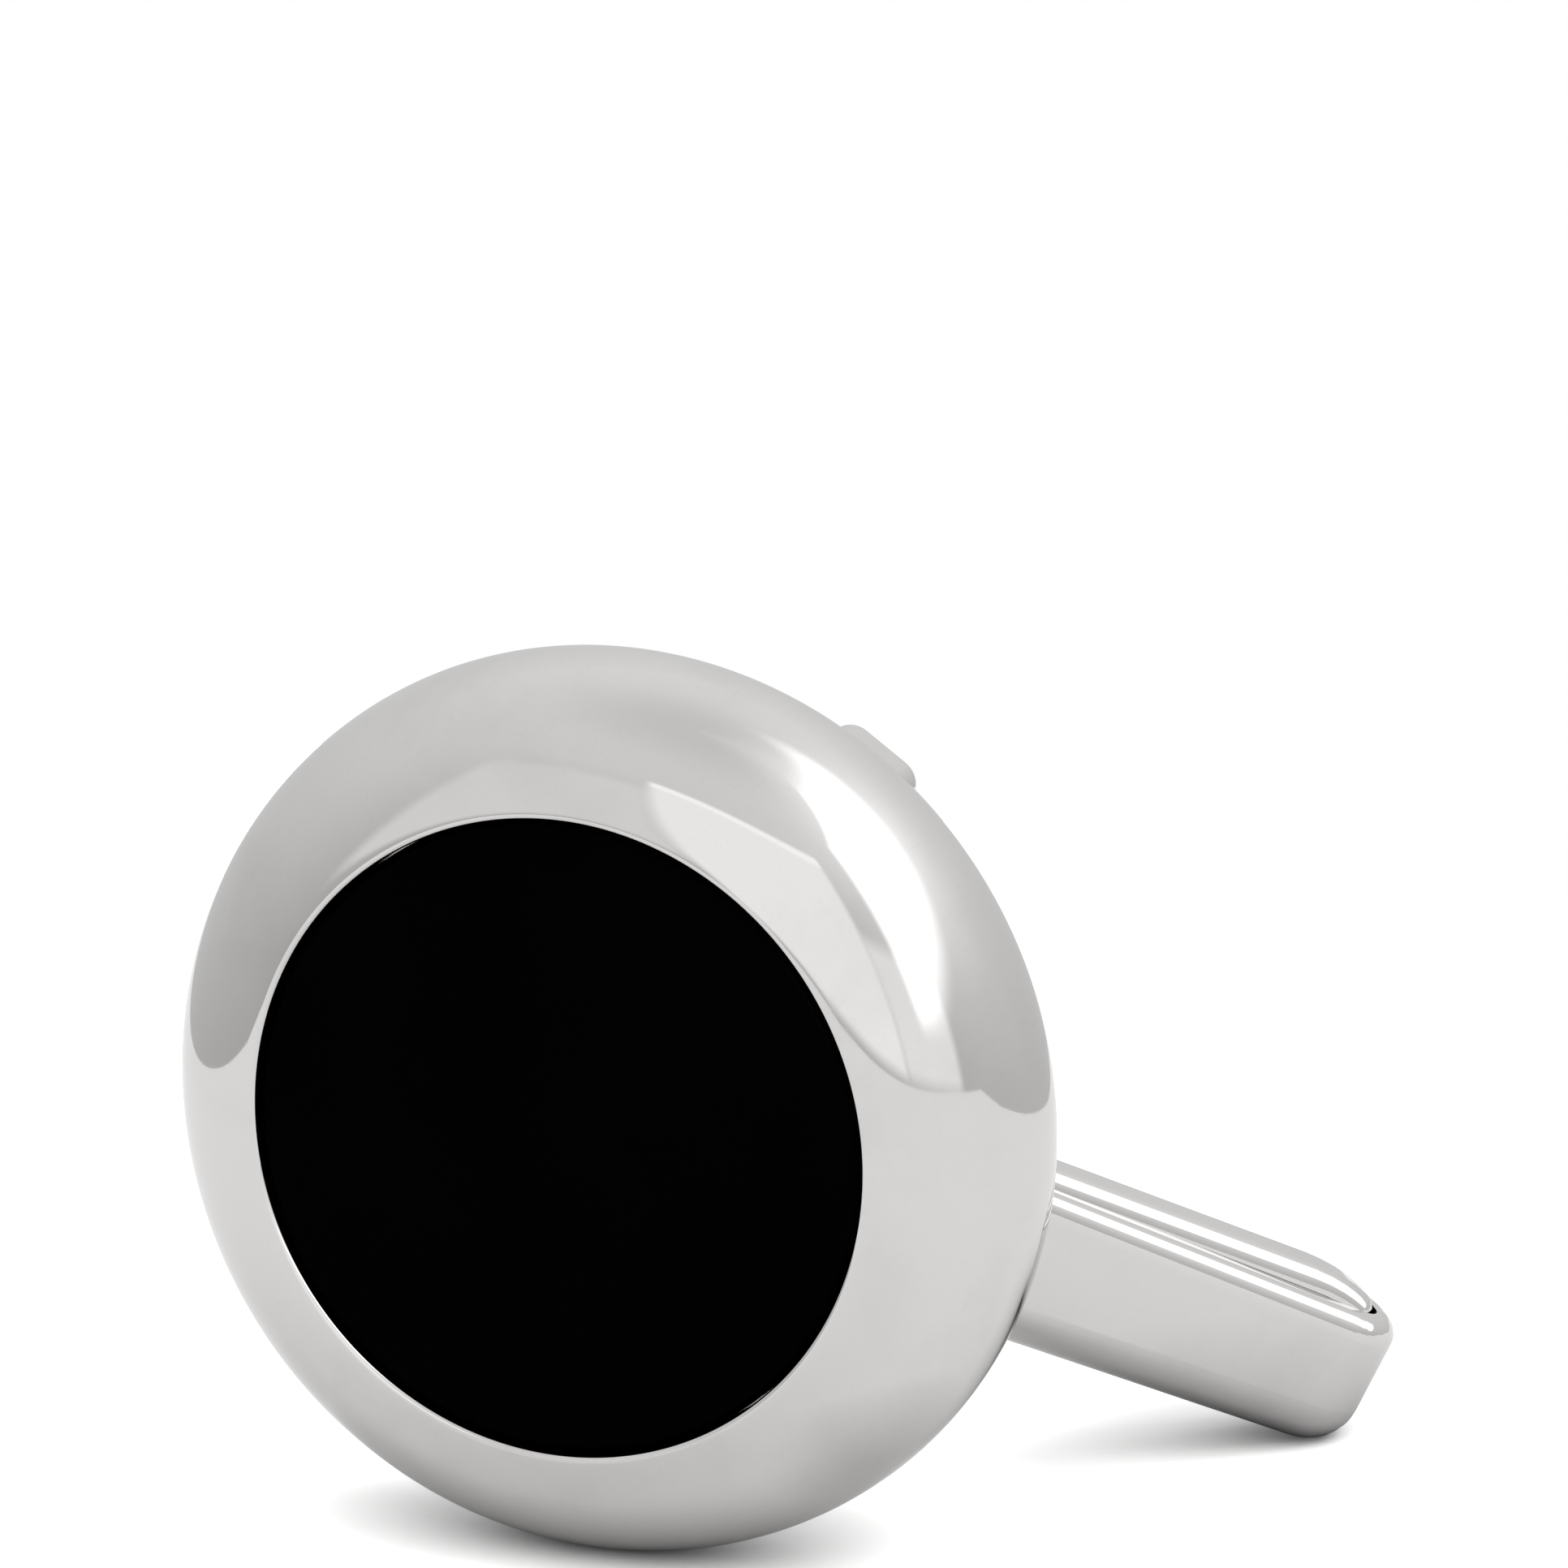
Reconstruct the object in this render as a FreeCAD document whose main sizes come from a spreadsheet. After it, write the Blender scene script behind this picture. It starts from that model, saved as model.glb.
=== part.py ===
import FreeCAD, Part
import os
import Sketcher
from FreeCAD import Vector

doc = FreeCAD.newDocument("cufflink")

# Driving sizes in millimetres and degrees.
# Depths run along +Y from the plane of the head's widest circle; the front of the head is -Y.
SIZES = {
    "head_radius": 9.0,
    "crown_radius": 3.2,
    "rim_width": 2.64,
    "seat_ledge": 0.24,
    "heel_land": 0.2,
    "stone_sink": 0.1006,
    "stone_thickness": 1.4,
    "stone_chamfer": 0.15,
    "cement_thickness": 0.1,
    "cement_margin": 0.3,
    "seat_thickness": 0.8,
    "fit_gap": 0.03,
    "bar_angle": 34.2,
    "bar_depth": 1.4,
    "bar_width": 2.0,
    "bar_thickness": 1.0,
    "bar_inset": 0.35,
    "bar_corner": 0.5,
    "bar_edge_round": 0.2,
    "hinge_drop": 0.73,
    "neck_radius": 0.5,
    "rivet_radius": 0.35,
    "rivet_inset": 1.15,
    "rivet_bite": 1.0,
    "rivet_head_radius": 0.6,
    "rivet_head_height": 0.25,
    "washer_thickness": 0.15,
    "axle_washer_radius": 0.95,
    "eye_radius": 1.25,
    "eye_width": 2.4,
    "stem_radius": 1.0,
    "stem_length": 2.4,
    "tenon_radius": 0.6,
    "button_lip": 0.2,
    "button_gap": 0.05,
    "button_thickness": 0.45,
    "arm_lean_angle": 49.1,
    "arm_twist_angle": -14.2,
    "arm_reach": 17.4,
    "arm_width": 3.0,
    "arm_root_top": 1.8,
    "arm_root_belly": 1.8,
    "arm_tip_top": 1.5,
    "arm_tip_belly": 1.4,
    "arm_tip_flat": 0.2,
    "arm_top_round": 0.45,
    "arm_belly_round": 1.0,
    "arm_end_wall": 1.6,
    "slot_tip_wall": 0.4,
    "toggle_root_gap": 0.94,
    "toggle_tip_gap": 0.08,
    "toggle_rise": 1.95,
    "toggle_belly": 1.3,
    "toggle_nose_round": 4.0,
    "toggle_nose_drop": 0.3,
    "toggle_lip_round": 0.3,
    "toggle_heel_round": 0.8,
    "toggle_edge_round": 0.5,
    "pin_radius": 0.5,
    "pin_blind": 0.25,
    "toggle_washer_radius": 1.1,
    "toggle_washer_thickness": 0.1,
}

sheet = doc.addObject("Spreadsheet::Sheet", "Sizes")
for row, (name, value) in enumerate(SIZES.items(), 1):
    sheet.set(f"A{row}", name)
    sheet.set(f"B{row}", str(value))
    sheet.setAlias(f"B{row}", name)
doc.recompute()


class Size:
    """A number together with the expression that binds it to the sheet."""

    def __init__(self, value, text):
        self.value = value
        self.text = text

    def join(self, other, sign, value):
        return Size(value, f"({self.text} {sign} {other.text})")

    def __add__(self, other):
        other = size(other)
        return self.join(other, "+", self.value + other.value)

    def __sub__(self, other):
        other = size(other)
        return self.join(other, "-", self.value - other.value)

    def __mul__(self, other):
        other = size(other)
        return self.join(other, "*", self.value * other.value)

    def __truediv__(self, other):
        other = size(other)
        return self.join(other, "/", self.value / other.value)

    def __neg__(self):
        return size(0) - self

    def root(self):
        return Size(self.value ** 0.5, f"sqrt({self.text})")


def size(number):
    return number if isinstance(number, Size) else Size(float(number), str(number))


def cell(name):
    return Size(float(sheet.get(name)), f"Sizes.{name}")


def bind(feature, prop, amount):
    feature.setExpression(prop, size(amount).text)


def new_body(label):
    made = doc.addObject("PartDesign::Body", label)
    made.Label = label
    return made


def new_sketch(body, plane, name, offset=None):
    """A sketch on one of the body's own planes, moved along the plane's normal by offset."""
    drawn = body.newObject("Sketcher::SketchObject", f"{body.Name}_{name}")
    support = next(o for o in body.Origin.OriginFeatures if o.Name.startswith(plane))
    drawn.AttachmentSupport = (support, [""])
    drawn.MapMode = "FlatFace"
    if offset is not None:
        bind(drawn, "AttachmentOffset.Base.z", offset)
    return drawn


def free(value):
    """A starting value that the rest of the sketch then settles."""
    return Size(value, "")


def fix(drawn, kind, item, amount):
    """Hold a point or a radius of the sketch at a size from the sheet."""
    amount = size(amount)
    if not amount.text:
        return
    if kind == "Radius":
        number = drawn.addConstraint(Sketcher.Constraint(kind, item, amount.value))
    elif amount.text == "0":
        axis = -2 if kind == "DistanceX" else -1
        drawn.addConstraint(Sketcher.Constraint("PointOnObject", item[0], item[1], axis))
        return
    else:
        number = drawn.addConstraint(
            Sketcher.Constraint(kind, -1, 1, item[0], item[1], amount.value))
    bind(drawn, f"Constraints[{number}]", amount)


def outline(drawn, corners):
    """A closed outline of corners (x, y); an arc leads on from a corner (x, y, centre x, centre y, turn)."""
    spots = [Vector(size(c[0]).value, size(c[1]).value, 0) for c in corners]
    sides = []
    for i, corner in enumerate(corners):
        here, there = spots[i], spots[(i + 1) % len(spots)]
        if len(corner) == 2:
            sides.append((drawn.addGeometry(Part.LineSegment(here, there)), 1, 2))
            continue
        centre = Vector(size(corner[2]).value, size(corner[3]).value, 0)
        onward = corner[4] > 0
        first, last = (here, there) if onward else (there, here)
        ring = Part.Circle(centre, Vector(0, 0, 1), (here - centre).Length)
        arc = Part.ArcOfCircle(ring, ring.parameter(first), ring.parameter(last))
        sides.append((drawn.addGeometry(arc),) + ((1, 2) if onward else (2, 1)))
    for i, (item, start, end) in enumerate(sides):
        follow = sides[(i + 1) % len(sides)]
        drawn.addConstraint(Sketcher.Constraint("Coincident", item, end, follow[0], follow[1]))
    for (item, start, end), corner in zip(sides, corners):
        fix(drawn, "DistanceX", (item, start), corner[0])
        fix(drawn, "DistanceY", (item, start), corner[1])
        if len(corner) > 2:
            fix(drawn, "DistanceX", (item, 3), corner[2])
            fix(drawn, "DistanceY", (item, 3), corner[3])


def circle(drawn, x, y, radius):
    spot = Vector(size(x).value, size(y).value, 0)
    item = drawn.addGeometry(Part.Circle(spot, Vector(0, 0, 1), size(radius).value))
    fix(drawn, "DistanceX", (item, 3), x)
    fix(drawn, "DistanceY", (item, 3), y)
    fix(drawn, "Radius", item, radius)


def box_outline(drawn, half_x, low_y, high_y):
    outline(drawn, [(-half_x, low_y), (half_x, low_y), (half_x, high_y), (-half_x, high_y)])


def grow(body, drawn, length, both_ways=False, backward=False):
    """Pad along the sketch's normal; backward pads against it."""
    made = body.newObject("PartDesign::Pad", f"{drawn.Name}_pad")
    made.Profile = drawn
    bind(made, "Length", length)
    made.SideType = "Symmetric" if both_ways else "One side"
    made.Reversed = backward
    drawn.Visibility = False
    doc.recompute()
    return made


def cut(body, drawn, length=None, both_ways=False, along=False):
    """Pocket against the sketch's normal, or along it; without a length it goes right through."""
    before = body.Shape.Volume
    made = body.newObject("PartDesign::Pocket", f"{drawn.Name}_pocket")
    made.Profile = drawn
    if length is None:
        made.Type = "ThroughAll"
    else:
        bind(made, "Length", length)
    made.SideType = "Symmetric" if both_ways else "One side"
    made.Reversed = along
    drawn.Visibility = False
    doc.recompute()
    if not body.Shape.Volume < before:
        raise RuntimeError(f"{made.Name} removed nothing")
    return made


def turned(body, drawn, kind="PartDesign::Revolution", axis="V_Axis"):
    """Turn the sketch once round one of its own axes, as a solid or as a groove."""
    made = body.newObject(kind, f"{drawn.Name}_turn")
    made.Profile = drawn
    made.ReferenceAxis = (drawn, [axis])
    made.Angle = 360
    drawn.Visibility = False
    doc.recompute()
    return made


def rounded(body, radius, wanted):
    """Fillet the edges of the body's last feature that the test picks by their mid-point and direction."""
    last = body.Tip
    names = []
    for number, edge in enumerate(last.Shape.Edges, 1):
        middle = edge.valueAt((edge.FirstParameter + edge.LastParameter) / 2)
        if wanted(middle, edge):
            names.append(f"Edge{number}")
    made = body.newObject("PartDesign::Fillet", f"{body.Name}_round_{len(body.Group)}")
    made.Base = (last, names)
    bind(made, "Radius", radius)
    doc.recompute()
    return made


def runs_along(edge, axis):
    return edge.Curve.TypeId == "Part::GeomLine" and abs(edge.Curve.Direction.dot(axis)) > 0.999


heel = cell("rim_width") - cell("seat_ledge") - cell("heel_land")


def place(body, depth, reach=0, lean=0, twist=0, out=0):
    """Put a body at a depth behind the head's widest circle, turned with the hinge bar.

    reach runs along the arm, lean and twist turn it with the arm, out runs along the hinge bar.
    """
    turn = f"rotation(vector(0; 1; 0); {cell('bar_angle').text})"
    arm = (f"{turn} * rotation(vector(0; 0; 1); {(-size(lean)).text})"
           f" * rotation(vector(0; 1; 0); {size(twist).text})")
    base = (f"vector(0; {(size(depth) - heel).text}; 0)"
            f" + {arm} * vector(0; {size(reach).text}; 0)"
            f" + {turn} * vector(0; 0; {size(out).text})")
    body.setExpression("Placement", f"placement({base}; {arm})")


# Head: a domed ring, hollow behind, with the stone let into its front.
gap = cell("fit_gap")
head = cell("head_radius")
crown = cell("crown_radius")
opening = head - cell("rim_width")
hollow = opening + cell("seat_ledge")
lip_inset = crown - cell("rim_width")
lip = (crown * crown - lip_inset * lip_inset).root()
stone_face = lip - cell("stone_sink")
seat_front = stone_face - cell("stone_thickness") - cell("cement_thickness")
bar_front = cell("bar_depth") - cell("bar_thickness") / 2
bar_reach = head - cell("bar_inset")
rivet_reach = bar_reach - cell("rivet_inset")

bezel = new_body("bezel")
section = new_sketch(bezel, "XY_Plane", "section")
outline(section, [
    (opening, free(-lip.value), head - crown, 0, 1),
    (head, 0, head - heel, 0, 1),
    (head - heel, free(heel.value)),
    (hollow, heel),
    (hollow, -seat_front),
    (opening, -seat_front),
])
turned(bezel, section)
notch = new_sketch(bezel, "XZ_Plane", "notch", -bar_front)
box_outline(notch, cell("bar_width") / 2 + gap, -head, head)
cut(bezel, notch)
holes = new_sketch(bezel, "XZ_Plane", "rivet_holes", -bar_front)
for side in (1, -1):
    circle(holes, 0, rivet_reach * side, cell("rivet_radius") + gap)
cut(bezel, holes, cell("rivet_bite") + gap, along=True)
place(bezel, 0)

stone_radius = opening - gap
onyx_disc = new_body("onyx_disc")
section = new_sketch(onyx_disc, "XY_Plane", "section")
outline(section, [
    (0, 0),
    (stone_radius, 0),
    (stone_radius, cell("stone_chamfer") - cell("stone_thickness")),
    (stone_radius - cell("stone_chamfer"), -cell("stone_thickness")),
    (0, -cell("stone_thickness")),
])
turned(onyx_disc, section)
place(onyx_disc, cell("stone_thickness") - stone_face)

cement_bed = new_body("cement_bed")
section = new_sketch(cement_bed, "XZ_Plane", "disc")
circle(section, 0, 0, stone_radius - cell("cement_margin"))
grow(cement_bed, section, cell("cement_thickness"))
place(cement_bed, -seat_front)

seat_plate = new_body("seat_plate")
section = new_sketch(seat_plate, "XZ_Plane", "disc")
circle(section, 0, 0, hollow - gap)
grow(seat_plate, section, cell("seat_thickness"))
place(seat_plate, cell("seat_thickness") - seat_front)

# Hinge bar: lies in the two notches of the ring and carries the arm on its turned middle.
half_neck = cell("eye_width") / 2 + cell("washer_thickness") + gap
hinge = -cell("hinge_drop")
hinge_bar = new_body("hinge_bar")
plan = new_sketch(hinge_bar, "XZ_Plane", "plan")
box_outline(plan, cell("bar_width") / 2, -bar_reach, bar_reach)
grow(hinge_bar, plan, cell("bar_thickness"), both_ways=True)
rounded(hinge_bar, cell("bar_corner"), lambda mid, edge: runs_along(edge, Vector(0, 1, 0)))
rounded(hinge_bar, cell("bar_edge_round"), lambda mid, edge: not runs_along(edge, Vector(0, 1, 0)))
neck = new_sketch(hinge_bar, "XZ_Plane", "neck")
outline(neck, [
    (cell("neck_radius"), hinge - half_neck),
    (cell("bar_width"), hinge - half_neck),
    (cell("bar_width"), hinge + half_neck),
    (cell("neck_radius"), hinge + half_neck),
])
turned(hinge_bar, neck, "PartDesign::Groove")
holes = new_sketch(hinge_bar, "XZ_Plane", "rivet_holes")
for side in (1, -1):
    circle(holes, 0, rivet_reach * side, cell("rivet_radius") + gap)
cut(hinge_bar, holes, both_ways=True)
place(hinge_bar, cell("bar_depth"))

for label, side in (("bar_rivet_upper", 1), ("bar_rivet_lower", -1)):
    rivet = new_body(label)
    section = new_sketch(rivet, "XY_Plane", "section")
    foot = cell("bar_thickness") + cell("rivet_bite")
    outline(section, [
        (0, -foot),
        (cell("rivet_radius"), -foot),
        (cell("rivet_radius"), 0),
        (cell("rivet_head_radius"), 0),
        (cell("rivet_head_radius"), cell("rivet_head_height")),
        (0, cell("rivet_head_height")),
    ])
    turned(rivet, section)
    place(rivet, cell("bar_depth") + cell("bar_thickness") / 2, out=rivet_reach * side)

for label, side in (("axle_washer_upper", 1), ("axle_washer_lower", -1)):
    washer = new_body(label)
    section = new_sketch(washer, "XY_Plane", "ring")
    circle(section, 0, 0, cell("axle_washer_radius"))
    circle(section, 0, 0, cell("neck_radius") + gap)
    grow(washer, section, cell("washer_thickness"), both_ways=True)
    place(washer, cell("bar_depth"), out=hinge + (half_neck - cell("washer_thickness") / 2) * side)

# Post: an eye on the hinge bar and a stem whose tenon carries the arm.
arm_root = cell("stem_length") + gap
button_start = arm_root + cell("arm_end_wall") + gap
button_radius = cell("tenon_radius") + cell("button_lip")
lean = cell("arm_lean_angle")
post_stem = new_body("post_stem")
eye = new_sketch(post_stem, "XY_Plane", "eye")
circle(eye, 0, 0, cell("eye_radius"))
grow(post_stem, eye, cell("eye_width"), both_ways=True)
stem = new_sketch(post_stem, "XZ_Plane", "stem")
circle(stem, 0, 0, cell("stem_radius"))
grow(post_stem, stem, cell("stem_length"), backward=True)
tenon = new_sketch(post_stem, "XZ_Plane", "tenon")
circle(tenon, 0, 0, cell("tenon_radius"))
grow(post_stem, tenon, button_start + cell("button_thickness"), backward=True)
bore = new_sketch(post_stem, "XY_Plane", "bore")
circle(bore, 0, 0, cell("neck_radius") + gap)
cut(post_stem, bore, both_ways=True)
place(post_stem, cell("bar_depth"), lean=lean, out=hinge)

stem_button = new_body("stem_button")
section = new_sketch(stem_button, "XZ_Plane", "ring")
circle(section, 0, 0, button_radius)
circle(section, 0, 0, cell("tenon_radius"))
grow(stem_button, section, cell("button_thickness"), backward=True)
place(stem_button, cell("bar_depth"), button_start, lean, out=hinge)

# Arm: a long loop that turns on the tenon and holds the toggle between its two sides.
twist = cell("arm_twist_angle")
root_top, root_belly = cell("arm_root_top"), -cell("arm_root_belly")
tip_top, tip_belly = cell("arm_tip_top"), -cell("arm_tip_belly")
slot_half = button_radius + cell("button_gap")
slot_start = arm_root + cell("arm_end_wall")
slot_end = cell("arm_reach") - cell("slot_tip_wall")
toggle_start = button_start + cell("button_thickness") + cell("toggle_root_gap")
toggle_end = slot_end - cell("toggle_tip_gap")
toggle_centre = (toggle_start + toggle_end) / 2
arm_frame = new_body("arm_frame")
side = new_sketch(arm_frame, "YZ_Plane", "side")
outline(side, [
    (arm_root, root_belly),
    (cell("arm_reach"), tip_belly),
    (cell("arm_reach"), tip_top),
    (arm_root, root_top),
])
grow(arm_frame, side, cell("arm_width"), both_ways=True)
tip_round = (cell("arm_width") - cell("arm_tip_flat")) / 2
rounded(arm_frame, tip_round, lambda mid, edge: runs_along(edge, Vector(0, 0, 1)))
rounded(arm_frame, cell("arm_top_round"), lambda mid, edge: mid.z > tip_top.value - 0.01)
rounded(arm_frame, cell("arm_belly_round"), lambda mid, edge: mid.z < tip_belly.value + 0.01)
slot = new_sketch(arm_frame, "XY_Plane", "slot")
box_outline(slot, slot_half, slot_start, toggle_centre)
cut(arm_frame, slot, both_ways=True)
sweep = slot_end - toggle_centre
slot_corner = cell("toggle_edge_round") + cell("toggle_tip_gap")
swing = new_sketch(arm_frame, "XY_Plane", "swing")
bind(swing, "AttachmentOffset.Base.y", toggle_centre)
outline(swing, [
    (-slot_half, 0),
    (slot_half, 0),
    (slot_half, sweep - slot_corner, slot_half - slot_corner, sweep - slot_corner, 1),
    (slot_half - slot_corner, free(sweep.value)),
    (slot_corner - slot_half, sweep, slot_corner - slot_half, sweep - slot_corner, 1),
    (free(-slot_half.value), sweep - slot_corner),
])
turned(arm_frame, swing, "PartDesign::Groove", "H_Axis")
bore = new_sketch(arm_frame, "XZ_Plane", "tenon_bore")
circle(bore, 0, 0, cell("tenon_radius") + gap)
cut(arm_frame, bore, slot_start + slot_half)
pin_hole = new_sketch(arm_frame, "YZ_Plane", "pin_hole", cell("arm_width") / 2 - cell("pin_blind"))
circle(pin_hole, toggle_centre, 0, cell("pin_radius"))
cut(arm_frame, pin_hole)
place(arm_frame, cell("bar_depth"), 0, lean, twist, hinge)

toggle_half = (toggle_end - toggle_start) / 2
rise, belly = cell("toggle_rise"), -cell("toggle_belly")
drop = cell("toggle_nose_drop")
nose_height = rise - cell("toggle_nose_round")
lip = rise - drop
nose_end = (toggle_half * toggle_half - lip * lip).root()
nose = nose_end - (drop * (cell("toggle_nose_round") * 2 - drop)).root()
heel_corner = (toggle_half * toggle_half - belly * belly).root()
toggle_bar = new_body("toggle_bar")
side = new_sketch(toggle_bar, "YZ_Plane", "side")
outline(side, [
    (free(-heel_corner.value), belly),
    (heel_corner, belly, 0, 0, 1),
    (nose_end, free(lip.value), nose, nose_height, 1),
    (nose, free(rise.value)),
    (-nose, rise, -nose, nose_height, 1),
    (-nose_end, free(lip.value), 0, 0, 1),
])
grow(toggle_bar, side, (slot_half - cell("toggle_washer_thickness") - gap) * 2, both_ways=True)
across = Vector(1, 0, 0)
rounded(toggle_bar, cell("toggle_heel_round"), lambda mid, edge: runs_along(edge, across) and mid.z < 0)
rounded(toggle_bar, cell("toggle_lip_round"),
        lambda mid, edge: runs_along(edge, across) and abs(mid.z - lip.value) < 0.01)
rounded(toggle_bar, cell("toggle_edge_round"), lambda mid, edge: not runs_along(edge, across))
pin_hole = new_sketch(toggle_bar, "YZ_Plane", "pin_hole")
circle(pin_hole, 0, 0, cell("pin_radius") + gap)
cut(toggle_bar, pin_hole, both_ways=True)
place(toggle_bar, cell("bar_depth"), toggle_centre, lean, twist, hinge)

toggle_pin = new_body("toggle_pin")
section = new_sketch(toggle_pin, "YZ_Plane", "section", -cell("arm_width") / 2)
circle(section, 0, 0, cell("pin_radius"))
grow(toggle_pin, section, cell("arm_width") - cell("pin_blind"))
place(toggle_pin, cell("bar_depth"), toggle_centre, lean, twist, hinge)

for label, side in (("toggle_washer_near", 1), ("toggle_washer_far", -1)):
    washer = new_body(label)
    middle = (slot_half - cell("toggle_washer_thickness") / 2) * side
    section = new_sketch(washer, "YZ_Plane", "ring", middle)
    circle(section, 0, 0, cell("toggle_washer_radius"))
    circle(section, 0, 0, cell("pin_radius"))
    grow(washer, section, cell("toggle_washer_thickness"), both_ways=True)
    place(washer, cell("bar_depth"), toggle_centre, lean, twist, hinge)

doc.recompute()
os.makedirs("parts", exist_ok=True)
for item in doc.Objects:
    if "Invalid" in item.State or "Error" in item.State:
        raise RuntimeError(f"{item.Label} did not build: {item.State}")
for item in doc.Objects:
    if item.TypeId == "PartDesign::Body":
        if item.Shape.isNull() or not item.Shape.isValid() or len(item.Shape.Solids) != 1:
            raise RuntimeError(f"{item.Label} is not one valid solid")
        item.Shape.exportStep(f"parts/{item.Label}.step")
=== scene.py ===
import math

import bpy
from mathutils import Matrix, Vector


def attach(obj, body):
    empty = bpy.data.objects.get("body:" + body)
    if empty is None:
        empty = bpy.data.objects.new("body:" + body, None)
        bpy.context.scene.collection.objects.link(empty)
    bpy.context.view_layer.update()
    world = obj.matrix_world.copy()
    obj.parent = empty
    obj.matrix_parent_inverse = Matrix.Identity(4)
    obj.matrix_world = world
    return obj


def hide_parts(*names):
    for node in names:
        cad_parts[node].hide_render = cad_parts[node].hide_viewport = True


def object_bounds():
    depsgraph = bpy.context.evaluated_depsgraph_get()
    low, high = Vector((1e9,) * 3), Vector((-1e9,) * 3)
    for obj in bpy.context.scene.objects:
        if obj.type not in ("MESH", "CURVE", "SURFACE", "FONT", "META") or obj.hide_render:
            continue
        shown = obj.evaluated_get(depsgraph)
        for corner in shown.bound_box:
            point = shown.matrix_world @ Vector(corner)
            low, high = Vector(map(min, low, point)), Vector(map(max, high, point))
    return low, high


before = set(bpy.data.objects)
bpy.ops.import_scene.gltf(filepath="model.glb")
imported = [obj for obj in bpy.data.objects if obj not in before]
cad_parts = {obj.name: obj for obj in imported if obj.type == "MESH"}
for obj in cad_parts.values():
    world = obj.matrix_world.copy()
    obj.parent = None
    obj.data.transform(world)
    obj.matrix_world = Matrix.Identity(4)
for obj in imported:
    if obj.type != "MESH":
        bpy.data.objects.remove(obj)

cad_box = [list(corner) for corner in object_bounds()]
scene = bpy.context.scene
scene.view_settings.view_transform = "Standard"
MM = 0.001

# Sizes of the head, in millimetres, and the bar's angle in degrees, as in the part itself.
HEAD_RADIUS = 9.0
CROWN_RADIUS = 3.2
RIM_WIDTH = 2.64
HEEL_RADIUS = 2.2
SEAT_LEDGE = 0.24
SEAT_DEPTH = 1.55
LIP_ROUND = 0.11
BACK_ROUND = 0.08
NOTCH_WIDTH = 2.06
NOTCH_START = 0.9
BAR_ANGLE = 34.2

# How the rim is meshed.
TURNING_STEPS = 480
ARC_POINTS = 33
LIP_POINTS = 9
BACK_POINTS = 7
CUTTER_REACH = 2.4       # in head radii
WELD_WITHIN = 1e-7
SHARP_OVER = 35          # degrees

# The metal's faint warm tint.
WARM = (1.0, 0.985, 0.975)

# Where the noise counts as a hairline or a smear, and how much a hairline cuts and hazes.
HAIRLINE_RANGE = (0.60, 0.72)
SMEAR_RANGE = (0.45, 0.75)
HAIRLINE_CUT = 0.012
HAIRLINE_HAZE = 0.25
CLOUD_RANGE = (0.3, 0.7)
GRAIN_RANGE = (0.3, 0.7)


class Wiring:
    """Adds nodes to a tree and links them, one short call each."""

    def __init__(self, tree):
        self.tree = tree

    def add(self, kind, inputs=None, **settings):
        node = self.tree.nodes.new(kind)
        for name, value in settings.items():
            setattr(node, name, value)
        for key, value in (inputs or {}).items():
            self.feed(value, node.inputs[key])
        return node

    def feed(self, value, socket):
        if isinstance(value, bpy.types.NodeSocket):
            self.tree.links.new(value, socket)
        else:
            socket.default_value = value

    def math(self, operation, *values):
        node = self.tree.nodes.new("ShaderNodeMath")
        node.operation = operation
        for i, value in enumerate(values):
            self.feed(value, node.inputs[i])
        return node.outputs[0]

    def span(self, value, low, high, to_low=0.0, to_high=1.0, smooth=False):
        node = self.tree.nodes.new("ShaderNodeMapRange")
        node.interpolation_type = "SMOOTHSTEP" if smooth else "LINEAR"
        for key, given in (("Value", value), ("From Min", low), ("From Max", high),
                           ("To Min", to_low), ("To Max", to_high)):
            self.feed(given, node.inputs[key])
        return node.outputs[0]

    def blend(self, share, first, second):
        node = self.tree.nodes.new("ShaderNodeMix")
        node.data_type = "RGBA"
        for key, given in ((0, share), (6, first), (7, second)):
            self.feed(given, node.inputs[key])
        return node.outputs[2]

    def vector(self, x=0.0, y=0.0, z=0.0):
        return self.add("ShaderNodeCombineXYZ", {"X": x, "Y": y, "Z": z}).outputs[0]

    def noise(self, place, scale, detail, roughness=0.5):
        node = self.add("ShaderNodeTexNoise", {"Vector": place, "Scale": scale, "Detail": detail,
                                               "Roughness": roughness})
        return node.outputs["Fac"]


def grey(level, tint=(1.0, 1.0, 1.0)):
    return (level * tint[0], level * tint[1], level * tint[2], 1.0)


# Shared surface effects.

def shader_group(name, inputs, outputs):
    tree = bpy.data.node_groups.new(name, "ShaderNodeTree")
    for label, value in inputs.items():
        socket = tree.interface.new_socket(label, in_out="INPUT", socket_type="NodeSocketFloat")
        socket.default_value = value
    for label in outputs:
        tree.interface.new_socket(label, in_out="OUTPUT", socket_type="NodeSocketFloat")
    wires = Wiring(tree)
    return tree, wires, wires.add("NodeGroupInput").outputs, wires.add("NodeGroupOutput").inputs


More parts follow.
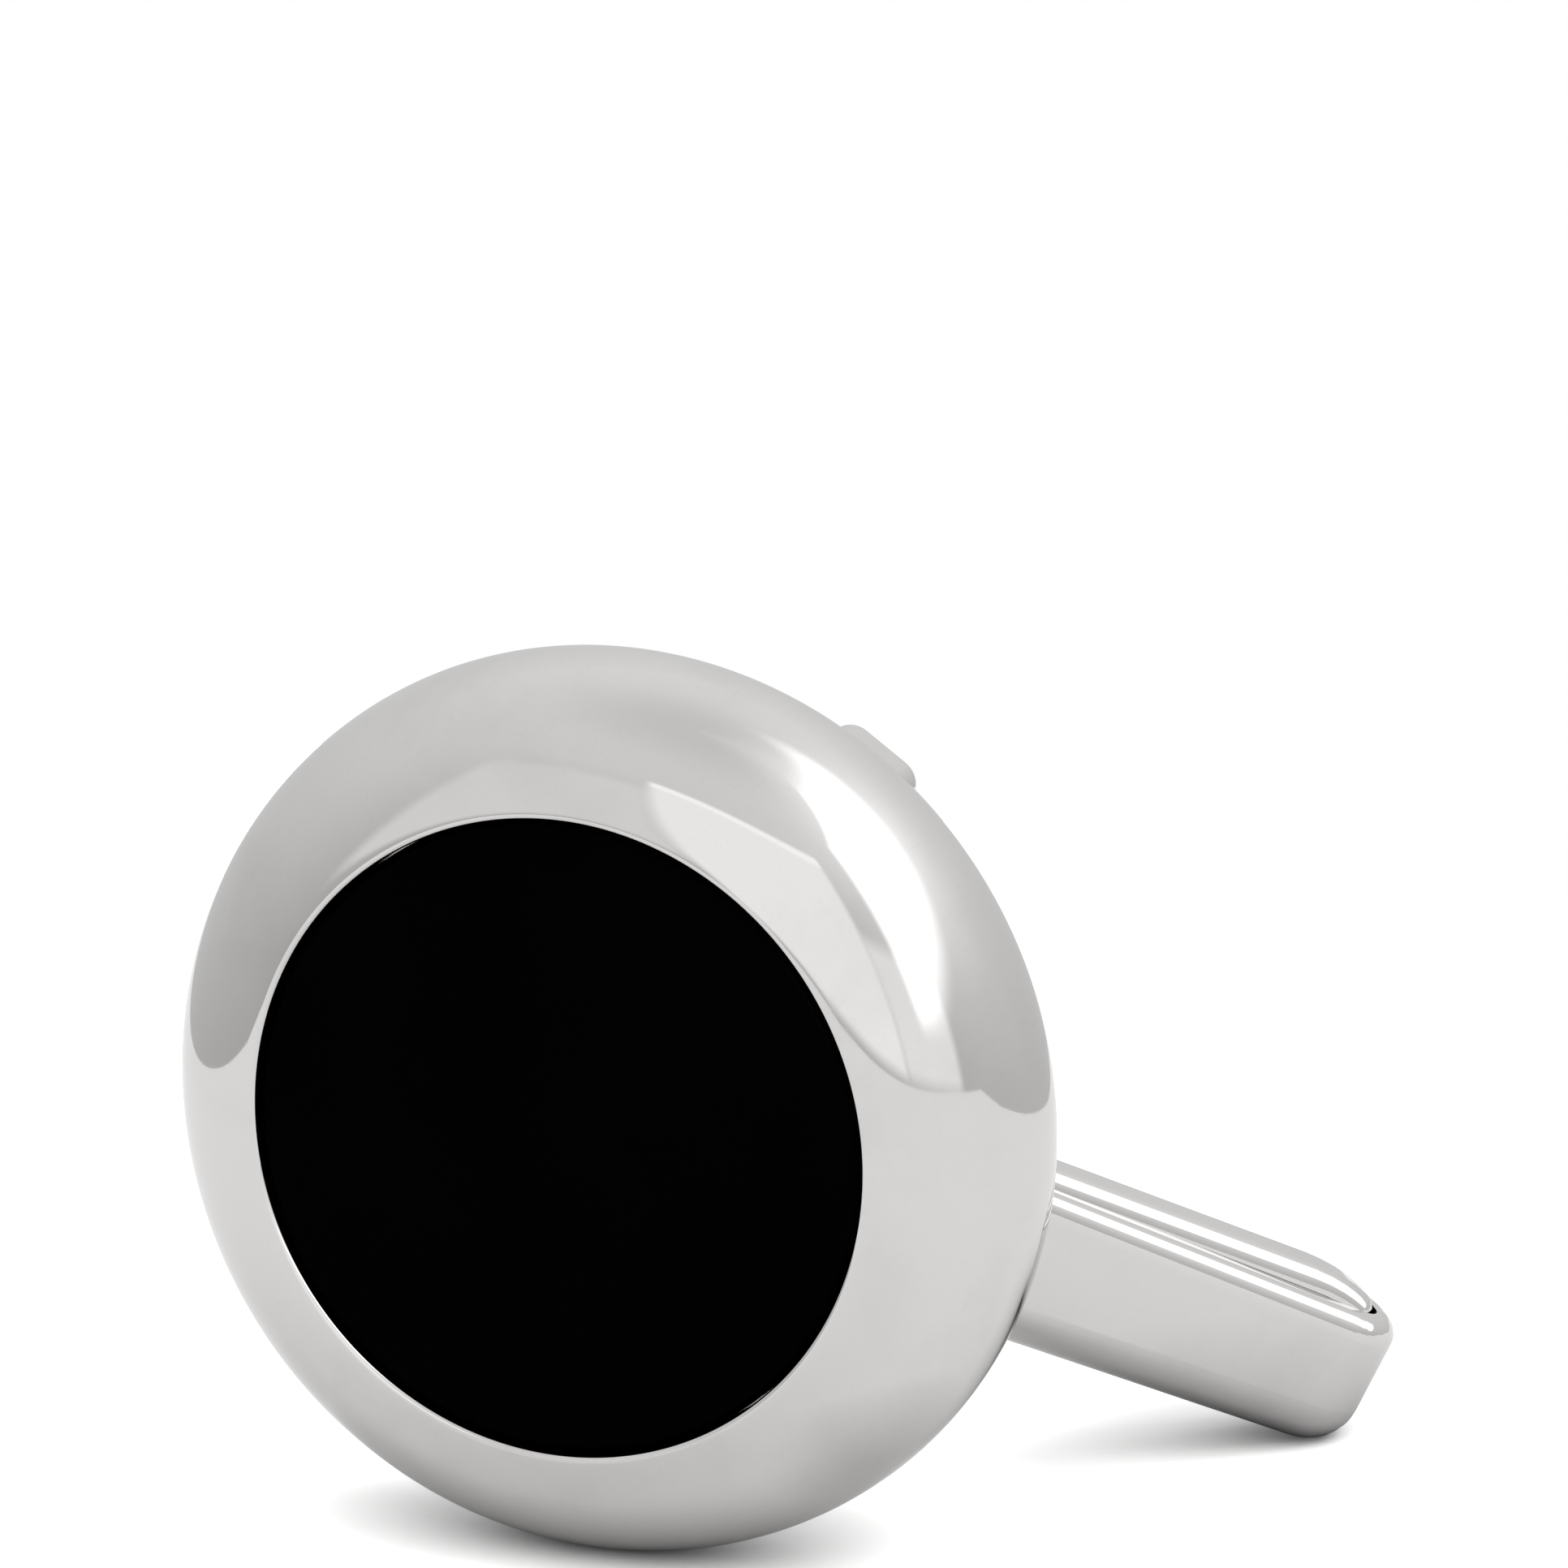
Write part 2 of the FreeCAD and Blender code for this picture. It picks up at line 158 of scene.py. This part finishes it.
def buffing_group():
    """Hand buffing: slow waves, fine hairlines, and a thin haze where fingers have been."""
    tree, w, given, result = shader_group(
        "buffing", {"Wave Scale": 300.0, "Hairline Scale": 9000.0, "Haze Scale": 240.0},
        ("Height", "Haze"))
    place = w.add("ShaderNodeTexCoord").outputs["Object"]
    drawn = w.add("ShaderNodeMapping", {"Vector": place, "Rotation": (0.5, 0.9, 0.3),
                                        "Scale": (1.0, 0.06, 1.0)}).outputs[0]
    waves = w.noise(place, given["Wave Scale"], 1.5, 0.4)
    lines = w.noise(drawn, given["Hairline Scale"], 2.0)
    smears = w.noise(place, given["Haze Scale"], 4.0, 0.6)
    hairline = w.span(lines, *HAIRLINE_RANGE)
    height = w.math("SUBTRACT", waves, w.math("MULTIPLY", hairline, HAIRLINE_CUT))
    haze = w.math("MULTIPLY_ADD", hairline, HAIRLINE_HAZE, w.span(smears, *SMEAR_RANGE, smooth=True))
    w.feed(height, result["Height"])
    w.feed(haze, result["Haze"])
    return tree


def grain_group():
    """Fine grains: a cut or cast surface seen close up."""
    tree, w, given, result = shader_group(
        "grain", {"Grain Scale": 4000.0, "Cloud Scale": 500.0}, ("Grain", "Cloud"))
    place = w.add("ShaderNodeTexCoord").outputs["Object"]
    w.feed(w.noise(place, given["Grain Scale"], 3.0), result["Grain"])
    w.feed(w.span(w.noise(place, given["Cloud Scale"], 3.0), *CLOUD_RANGE), result["Cloud"])
    return tree


BUFFING = buffing_group()
GRAIN = grain_group()


def empty_material(name):
    made = bpy.data.materials.new(name)
    made.use_nodes = True
    made.node_tree.nodes.clear()
    return made, Wiring(made.node_tree)


def new_material(name):
    made, wires = empty_material(name)
    shader = wires.add("ShaderNodeBsdfPrincipled")
    wires.add("ShaderNodeOutputMaterial", {"Surface": shader.outputs[0]})
    return made, wires, shader.inputs


def with_effect(wires, tree, **values):
    node = wires.add("ShaderNodeGroup", node_tree=tree)
    for label, value in values.items():
        node.inputs[label.replace("_", " ")].default_value = value
    return node.outputs


def steel(name, dark, light, smooth, dull, wave, hairline):
    """Steel between a dark and a light tone, from smooth to dull where it is hazed."""
    made, w, shader = new_material(name)
    worn = with_effect(w, BUFFING, Hairline_Scale=hairline)
    w.feed(w.blend(worn["Haze"], grey(light, WARM), grey(dark, WARM)), shader["Base Color"])
    shader["Metallic"].default_value = 1.0
    w.feed(w.span(worn["Haze"], 0.0, 1.0, smooth, dull), shader["Roughness"])
    relief = w.add("ShaderNodeBump", {"Height": worn["Height"], "Strength": wave, "Distance": 0.1 * MM})
    w.feed(relief.outputs[0], shader["Normal"])
    return made


def onyx():
    """Black stone, ground flat and polished, with bands that only just show."""
    made, w, shader = new_material("black_onyx_polished")
    banded = with_effect(w, GRAIN, Grain_Scale=2600.0, Cloud_Scale=180.0)
    w.feed(w.blend(banded["Cloud"], grey(0.0), grey(0.0004)), shader["Base Color"])
    w.feed(w.span(banded["Grain"], *GRAIN_RANGE, 0.03, 0.07), shader["Roughness"])
    shader["IOR"].default_value = 1.54
    shader["Specular IOR Level"].default_value = 0.006
    return made


def cement():
    """Grey cement, sandy and dull."""
    made, w, shader = new_material("set_cement")
    sandy = with_effect(w, GRAIN)
    w.feed(w.blend(sandy["Cloud"], grey(0.12, WARM), grey(0.2, WARM)), shader["Base Color"])
    w.feed(w.span(sandy["Grain"], *GRAIN_RANGE, 0.7, 0.95), shader["Roughness"])
    relief = w.add("ShaderNodeBump", {"Height": sandy["Grain"], "Strength": 0.4, "Distance": 0.05 * MM})
    w.feed(relief.outputs[0], shader["Normal"])
    return made


polished_steel = steel("polished_steel_mirror", dark=0.63, light=0.68, smooth=0.035, dull=0.10,
                       wave=0.02, hairline=9000.0)
plain_steel = steel("plain_steel_satin", dark=0.46, light=0.58, smooth=0.20, dull=0.38,
                    wave=0.05, hairline=5000.0)
black_onyx = onyx()
set_cement = cement()


# The turned rim: a profile of arcs carried round the head's axis, with the bar's notch cut through it.

def rim_inputs(tree):
    """The rim's sizes, counts and finish as labelled inputs of its tree."""
    sizes = {
        "Head Radius": HEAD_RADIUS * MM,
        "Crown Radius": CROWN_RADIUS * MM,
        "Rim Width": RIM_WIDTH * MM,
        "Heel Radius": HEEL_RADIUS * MM,
        "Seat Ledge": SEAT_LEDGE * MM,
        "Seat Depth": SEAT_DEPTH * MM,
        "Lip Round": LIP_ROUND * MM,
        "Back Round": BACK_ROUND * MM,
        "Notch Width": NOTCH_WIDTH * MM,
        "Notch Start": NOTCH_START * MM,
        "Bar Angle": math.radians(BAR_ANGLE),
    }
    counts = {"Turning Steps": TURNING_STEPS, "Arc Points": ARC_POINTS}
    for values, kind in ((sizes, "NodeSocketFloat"), (counts, "NodeSocketInt")):
        for label, value in values.items():
            socket = tree.interface.new_socket(label, in_out="INPUT", socket_type=kind)
            socket.default_value = value
    tree.interface.new_socket("Finish", in_out="INPUT", socket_type="NodeSocketMaterial")
    tree.interface.new_socket("Geometry", in_out="OUTPUT", socket_type="NodeSocketGeometry")


def rim_tree():
    tree = bpy.data.node_groups.new("turned_rim", "GeometryNodeTree")
    rim_inputs(tree)
    w = Wiring(tree)
    given = w.add("NodeGroupInput").outputs

    def plus(a, b):
        return w.math("ADD", a, b)

    def sub(a, b):
        return w.math("SUBTRACT", a, b)

    def mul(a, b):
        return w.math("MULTIPLY", a, b)

    crown_hub = sub(given["Head Radius"], given["Crown Radius"])
    heel_hub = sub(given["Head Radius"], given["Heel Radius"])
    opening = sub(given["Head Radius"], given["Rim Width"])
    hollow = plus(opening, given["Seat Ledge"])
    lip_hub = plus(opening, given["Lip Round"])
    lip_swing = sub(given["Crown Radius"], given["Lip Round"])
    lip_inset = sub(lip_hub, crown_hub)
    lip_depth = w.math("SQRT", sub(mul(lip_swing, lip_swing), mul(lip_inset, lip_inset)))
    lip_angle = w.math("ARCCOSINE", w.math("DIVIDE", lip_inset, lip_swing))
    back = sub(given["Heel Radius"], given["Back Round"])
    seat = mul(given["Seat Depth"], -1.0)

    def arc(hub, depth, radius, start, sweep, points):
        drawn = w.add("GeometryNodeCurveArc", {"Resolution": points, "Radius": radius,
                                               "Start Angle": start, "Sweep Angle": sweep},
                      mode="RADIUS")
        moved = w.add("GeometryNodeTransform", {"Geometry": drawn.outputs[0],
                                                "Translation": w.vector(hub, depth)})
        return moved.outputs[0]

    def line(start, end):
        return w.add("GeometryNodeCurvePrimitiveLine", {"Start": start, "End": end}).outputs[0]

    # The profile runs from the lip over the crown and the heel to the back edge, and along the seat.
    profile = arc(lip_hub, mul(lip_depth, -1.0), given["Lip Round"], -math.pi, sub(math.pi, lip_angle),
                  LIP_POINTS)
    for run in (
            arc(crown_hub, 0.0, given["Crown Radius"], mul(lip_angle, -1.0), lip_angle,
                given["Arc Points"]),
            arc(heel_hub, 0.0, given["Heel Radius"], 0.0, math.pi / 2, given["Arc Points"]),
            arc(plus(hollow, given["Back Round"]), back, given["Back Round"], math.pi / 2, math.pi / 2,
                BACK_POINTS),
            line(w.vector(hollow, seat), w.vector(opening, seat))):
        both = w.add("GeometryNodeJoinGeometry")
        tree.links.new(run, both.inputs[0])
        tree.links.new(profile, both.inputs[0])
        profile = both.outputs[0]
    size = w.add("GeometryNodeAttributeDomainSize", {"Geometry": profile}, component="CURVE")
    points = size.outputs["Point Count"]

    # A grid takes its points from the profile along one side, and turns them along the other.
    grid = w.add("GeometryNodeMeshGrid", {"Size X": 1.0, "Size Y": 1.0, "Vertices X": plus(points, 1.0),
                                          "Vertices Y": plus(given["Turning Steps"], 1.0)})
    along = w.add("ShaderNodeSeparateXYZ", {0: w.add("GeometryNodeInputPosition").outputs[0]}).outputs
    step = w.math("ROUND", mul(plus(along["X"], 0.5), points))
    around = mul(plus(along["Y"], 0.5), 2 * math.pi)
    found = w.add("GeometryNodeSampleIndex", {"Geometry": profile}, data_type="FLOAT_VECTOR",
                  domain="POINT")
    w.feed(w.add("GeometryNodeInputPosition").outputs[0], found.inputs["Value"])
    w.feed(w.math("MODULO", step, points), found.inputs["Index"])
    spot = w.add("ShaderNodeSeparateXYZ", {0: found.outputs[0]}).outputs
    turned = w.vector(mul(spot["X"], w.math("COSINE", around)),
                      sub(spot["Y"], given["Heel Radius"]),
                      mul(spot["X"], w.math("SINE", around)))
    shaped = w.add("GeometryNodeSetPosition", {"Geometry": grid.outputs["Mesh"], "Position": turned})
    closed = w.add("GeometryNodeMergeByDistance", {"Geometry": shaped.outputs[0],
                                                   "Distance": WELD_WITHIN})
    outward = w.add("GeometryNodeFlipFaces", {"Mesh": closed.outputs[0]})

    # The notch: a block as high as two heels, laid along the bar.
    notch_floor = sub(given["Notch Start"], given["Heel Radius"])
    cutter = w.add("GeometryNodeMeshCube", {"Size": w.vector(
        given["Notch Width"], mul(given["Heel Radius"], 2.0), mul(given["Head Radius"], CUTTER_REACH))})
    laid = w.add("GeometryNodeTransform", {
        "Geometry": cutter.outputs["Mesh"],
        "Translation": w.vector(y=plus(notch_floor, given["Heel Radius"])),
        "Rotation": w.vector(y=given["Bar Angle"])})
    cut = w.add("GeometryNodeMeshBoolean", operation="DIFFERENCE", solver="EXACT")
    tree.links.new(outward.outputs[0], cut.inputs["Mesh 1"])
    tree.links.new(laid.outputs[0], cut.inputs["Mesh 2"])
    whole = w.add("GeometryNodeRealizeInstances", {"Geometry": cut.outputs["Mesh"]})
    finished = w.add("GeometryNodeSetMaterial", {"Geometry": whole.outputs[0],
                                                 "Material": given["Finish"]})
    w.add("NodeGroupOutput", {"Geometry": finished.outputs[0]})
    return tree


def link(name, data):
    made = bpy.data.objects.new(name, data)
    scene.collection.objects.link(made)
    return made


def from_tree(name, tree, **values):
    """A plain mesh object made by a geometry tree, with its inputs set by their labels."""
    maker = link(name + "_maker", bpy.data.meshes.new(name + "_maker"))
    modifier = maker.modifiers.new("maker", "NODES")
    modifier.node_group = tree
    by_label = {item.name: item.identifier
                for item in tree.interface.items_tree if item.in_out == "INPUT"}
    for label, value in values.items():
        modifier[by_label[label.replace("_", " ")]] = value
    shown = maker.evaluated_get(bpy.context.evaluated_depsgraph_get())
    mesh = bpy.data.meshes.new_from_object(shown)
    mesh.name = name
    bpy.data.objects.remove(maker)
    return link(name, mesh)


def shade(piece, sharp_over):
    mesh = piece.data
    mesh.polygons.foreach_set("use_smooth", [True] * len(mesh.polygons))
    mesh.set_sharp_from_angle(angle=math.radians(sharp_over))
    return piece


def dress(piece, body, slot, *nodes):
    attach(piece, body)
    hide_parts(*nodes)


rim = shade(from_tree("polished_rim", rim_tree(), Finish=polished_steel), SHARP_OVER)
dress(rim, "head", "polished_steel", "bezel")


# The pieces that come straight from the part.

def finish_node(name, material):
    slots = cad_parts[name].data.materials
    slots.clear()
    slots.append(material)


FINISHES = {
    polished_steel: ("hinge_bar", "arm_frame", "toggle_bar"),
    plain_steel: ("seat_plate", "bar_rivet_upper", "bar_rivet_lower", "axle_washer_upper",
                  "axle_washer_lower", "post_stem", "stem_button", "toggle_pin", "toggle_washer_near",
                  "toggle_washer_far"),
    black_onyx: ("onyx_disc",),
    set_cement: ("cement_bed",),
}
for material, names in FINISHES.items():
    for name in names:
        finish_node(name, material)


# The table: a white sheet that keeps the real shadow, with painted shadow darkened into its colour as
# well.

PAPER, PAPER_SEEN, PAPER_MIRRORED = 0.8, 1.85, 0.94
FLOOR = cad_box[0][2]
# Its far edge runs aslant, near behind the object and far off at the right.
SHEET_EDGE = [(-46, -250), (600, -250), (600, -30), (110, 20), (60, 32), (10, 48), (-46, 50)]

# Painted shadow on the sheet: the way its occlusion looks, how far off something still darkens its
# colour, and the least share
# of colour that is left: below the head, and below the arm.
HEAD_PAINTED_SHADOW = ((0.2, -0.85, 0.48), 3.2 * MM, 0.09)
ARM_PAINTED_SHADOW = ((0.36, -0.9, 0.22), 7.5 * MM, 0.17)
ARM_SIDE = (4.0 * MM, 7.0 * MM)
# Close under the arm a painted shade darkens the sheet's colour still more, by these shares as seen and
# as mirrored.
PAINTED_SHADE_REACH = 5.0 * MM
PAINTED_SHADE_SEEN, PAINTED_SHADE_MIRRORED = 0.2, 0.8
SHADE_RAYS = 8


def sheet_material():
    """White paper: it shows as white, keeps the real shadows, has painted shadow from occlusion in its
    colour, and lights the object as plain paper.
    """
    made, w = empty_material("white_sheet")
    rays = w.add("ShaderNodeLightPath").outputs
    mirrored = w.math("MAXIMUM", rays["Is Glossy Ray"], rays["Is Transmission Ray"])

    # Painted shadow: occlusion towards a way darkens the sheet's colour, down to the least share.
    def painted_shadow_share(way, reach, least):
        clear = w.add("ShaderNodeAmbientOcclusion", {"Distance": reach, "Normal": w.vector(*way)},
                      samples=SHADE_RAYS)
        return w.span(clear.outputs["AO"], 0.0, 1.0, least, 1.0)

    place = w.add("ShaderNodeSeparateXYZ", {0: w.add("ShaderNodeTexCoord").outputs["Object"]}).outputs
    by_arm = w.span(place["X"], *ARM_SIDE, smooth=True)
    # Painted shadow below the head, blending into painted shadow below the arm.
    lit = w.span(by_arm, 0.0, 1.0, painted_shadow_share(*HEAD_PAINTED_SHADOW), painted_shadow_share(*ARM_PAINTED_SHADOW))
    # Painted shade close under the arm: occlusion within a short reach, only beside the arm.
    clear = w.add("ShaderNodeAmbientOcclusion", {"Distance": PAINTED_SHADE_REACH}, samples=SHADE_RAYS)
    painted_shade_under_arm = w.math("MULTIPLY", by_arm, w.math("SUBTRACT", 1.0, clear.outputs["AO"]))

    # The sheet's tone at a level, darkened by the painted shadow and by a depth of the painted shade
    # under the arm.
    def painted_shade_tone(level, depth):
        left = w.math("MULTIPLY_ADD", painted_shade_under_arm, -depth, 1.0)
        return w.math("MULTIPLY", w.math("MULTIPLY", lit, level), left)

    # Seen directly and in mirrors the sheet carries the painted shadow and the painted shade; to other
    # rays it is plain paper.
    tone = w.span(rays["Is Camera Ray"], 0.0, 1.0, PAPER, painted_shade_tone(PAPER_SEEN, PAINTED_SHADE_SEEN))
    tone = w.span(mirrored, 0.0, 1.0, tone, painted_shade_tone(PAPER_MIRRORED, PAINTED_SHADE_MIRRORED))
    paper = w.add("ShaderNodeBsdfDiffuse", {"Color": tone})
    w.add("ShaderNodeOutputMaterial", {"Surface": paper.outputs[0]})
    return made


table = bpy.data.meshes.new("table_sheet")
table.from_pydata([(x * MM, y * MM, FLOOR) for x, y in SHEET_EDGE], [], [range(len(SHEET_EDGE))])
table.materials.append(sheet_material())
sheet = link("table_sheet", table)

# A small soft lamp behind the arm, long in the arm's direction. It lights the arm and the toggle alone,
# and draws the bright lines along their tops.
ARM_RUNS = Vector((0.6252, 0.6547, -0.4249))
LAMP_MIDDLE = Vector((12.6, 9.7, -1.4)) * MM
LAMP_BACK = Vector((0.777, 0.362, 0.515))
LAMP_LENGTH, LAMP_WIDTH = 14.5 * MM, 4.4 * MM
LAMP_LEVEL = 0.85


def arm_lamp():
    made = bpy.data.lights.new("arm_lamp", "AREA")
    made.shape = "RECTANGLE"
    made.size, made.size_y = LAMP_LENGTH, LAMP_WIDTH
    made.energy = LAMP_LEVEL * math.pi * LAMP_LENGTH * LAMP_WIDTH
    lamp = link("arm_lamp", made)
    across = LAMP_BACK.cross(ARM_RUNS).normalized()
    back = ARM_RUNS.cross(across).normalized()
    turn = Matrix((ARM_RUNS.normalized(), across, back)).transposed().to_4x4()
    lamp.matrix_world = Matrix.Translation(LAMP_MIDDLE) @ turn
    lamp.visible_camera = lamp.visible_diffuse = False
    lit = bpy.data.collections.new("lit_by_arm_lamp")
    for name in ("arm_frame", "toggle_bar"):
        lit.objects.link(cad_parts[name])
    lamp.light_linking.receiver_collection = lit


arm_lamp()


# The studio all round, in degrees of side (0 in front, 90 at the right) and of height.

WALL = (-15.0, 45.0, 0.56, 0.90)        # from this height to that, from this level to that
CEILING = (55.0, 85.0, 0.0, 0.12)       # the same, taken off the wall's level
BACK_LIFT = 0.07
GLOW = (100, 28, 52, 16)                # middle and spread in side, middle and spread in height
GLOW_LEVEL = 0.6
PANELS = (                              # left, right, low, high, softness of the edge, level
    (-45, -11, 3, 38, 3, 0.90),
    (38, 74, -1, 25, 3, 1.08),
    (-11, 38, -1, 43, 2, 1.17),
    (-11, 38, 41, 43.5, 1, 1.32),
)
# The softbox leans: its left edge above a height, its right edge all the way up.
SOFTBOX_LEFT, LEFT_LEAN, LEFT_LEAN_OVER = 54.5, 1.35, 50.0
SOFTBOX_RIGHT, RIGHT_LEAN = 47.0, 1.55
SOFTBOX_LOW, SOFTBOX_HIGH = 12.0, 65.0
LEFT_SOFT, RIGHT_SOFT, LOW_SOFT, HIGH_SOFT = 3.0, 13.0, 5.0, 8.0
SOFTBOX_LEVEL = 1.0


def studio_world():
    """White behind the object; round it pale walls, a softbox at the right and panels in front."""
    world = bpy.data.worlds.new("studio")
    world.use_nodes = True
    world.node_tree.nodes.clear()
    w = Wiring(world.node_tree)
    way = w.add("ShaderNodeSeparateXYZ", {0: w.add("ShaderNodeTexCoord").outputs["Generated"]}).outputs

    def degrees(angle):
        return w.math("MULTIPLY", angle, 180 / math.pi)

    def minus(value):
        return w.math("MULTIPLY", value, -1.0)

    height = degrees(w.math("ARCSINE", way["Z"]))
    side = degrees(w.math("ARCTAN2", way["X"], minus(way["Y"])))

    def past(value, edge, soft):
        """Rises from 0 to 1 as the value passes the edge."""
        return w.span(w.math("SUBTRACT", value, edge), -soft, soft, smooth=True)

    def both(*shares):
        product = shares[0]
        for share in shares[1:]:
            product = w.math("MULTIPLY", product, share)
        return product

    def panel(left, right, low, high, soft):
        return both(past(side, left, soft), past(minus(side), -right, soft),
                    past(height, low, soft), past(minus(height), -high, soft))

    def lift(level, share, to):
        return w.math("MULTIPLY_ADD", share, w.math("SUBTRACT", to, level), level)

    def glow(middle_side, spread_side, middle_height, spread_height):
        across = w.math("DIVIDE", w.math("SUBTRACT", side, middle_side), spread_side)
        up = w.math("DIVIDE", w.math("SUBTRACT", height, middle_height), spread_height)
        apart = w.math("MULTIPLY_ADD", across, across, w.math("MULTIPLY", up, up))
        return w.math("EXPONENT", w.math("MULTIPLY", apart, -0.5))

    level = w.math("SUBTRACT", w.span(height, *WALL), w.span(height, *CEILING, smooth=True))
    level = w.math("MULTIPLY_ADD", way["Y"], BACK_LIFT, level)
    level = w.math("MULTIPLY_ADD", glow(*GLOW), GLOW_LEVEL, level)
    for left, right, low, high, soft, to in PANELS:
        level = lift(level, panel(left, right, low, high, soft), to)
    over = w.math("MAXIMUM", w.math("SUBTRACT", height, LEFT_LEAN_OVER), 0.0)
    left_edge = w.math("MULTIPLY_ADD", over, LEFT_LEAN, SOFTBOX_LEFT)
    right_edge = w.math("MULTIPLY_ADD", height, RIGHT_LEAN, SOFTBOX_RIGHT)
    softbox = both(past(side, left_edge, LEFT_SOFT), past(right_edge, side, RIGHT_SOFT),
                   past(height, SOFTBOX_LOW, LOW_SOFT), past(minus(height), -SOFTBOX_HIGH, HIGH_SOFT))
    level = w.math("MULTIPLY_ADD", softbox, SOFTBOX_LEVEL, level)
    seen = w.add("ShaderNodeLightPath").outputs["Is Camera Ray"]
    unseen = w.math("SUBTRACT", 1.0, seen)
    shown = w.math("MAXIMUM", seen, w.math("MULTIPLY", level, unseen))
    light = w.add("ShaderNodeBackground", {"Color": grey(1.0), "Strength": shown})
    w.add("ShaderNodeOutputWorld", {"Surface": light.outputs[0]})
    return world


scene.world = studio_world()


# The camera: a long lens, as the photograph shows.
IMAGE = 1932
VIEW_SIDE, VIEW_HEIGHT = 22.8, 15.4
PIXELS_PER_MM = 63.5
HEAD_AT = (763.3, 1353.3)
DISTANCE = 0.45
SENSOR = 36.0


def place_camera():
    a, e = math.radians(VIEW_SIDE), math.radians(VIEW_HEIGHT)
    towards = Vector((math.sin(a) * math.cos(e), -math.cos(a) * math.cos(e), math.sin(e)))
    across = Vector((math.cos(a), math.sin(a), 0.0))
    up = towards.cross(across)
    head = Vector((0.0, -HEEL_RADIUS * MM, 0.0))
    offset = across * (IMAGE / 2 - HEAD_AT[0]) - up * (IMAGE / 2 - HEAD_AT[1])
    target = head + offset * (MM / PIXELS_PER_MM)
    lens = bpy.data.cameras.new("camera")
    lens.sensor_width = SENSOR
    lens.lens = SENSOR * DISTANCE / (IMAGE / PIXELS_PER_MM * MM)
    lens.clip_start, lens.clip_end = 0.01, 10.0
    camera = link("camera", lens)
    camera.location = target + towards * DISTANCE
    camera.rotation_euler = towards.to_track_quat("Z", "Y").to_euler()
    scene.camera = camera


place_camera()
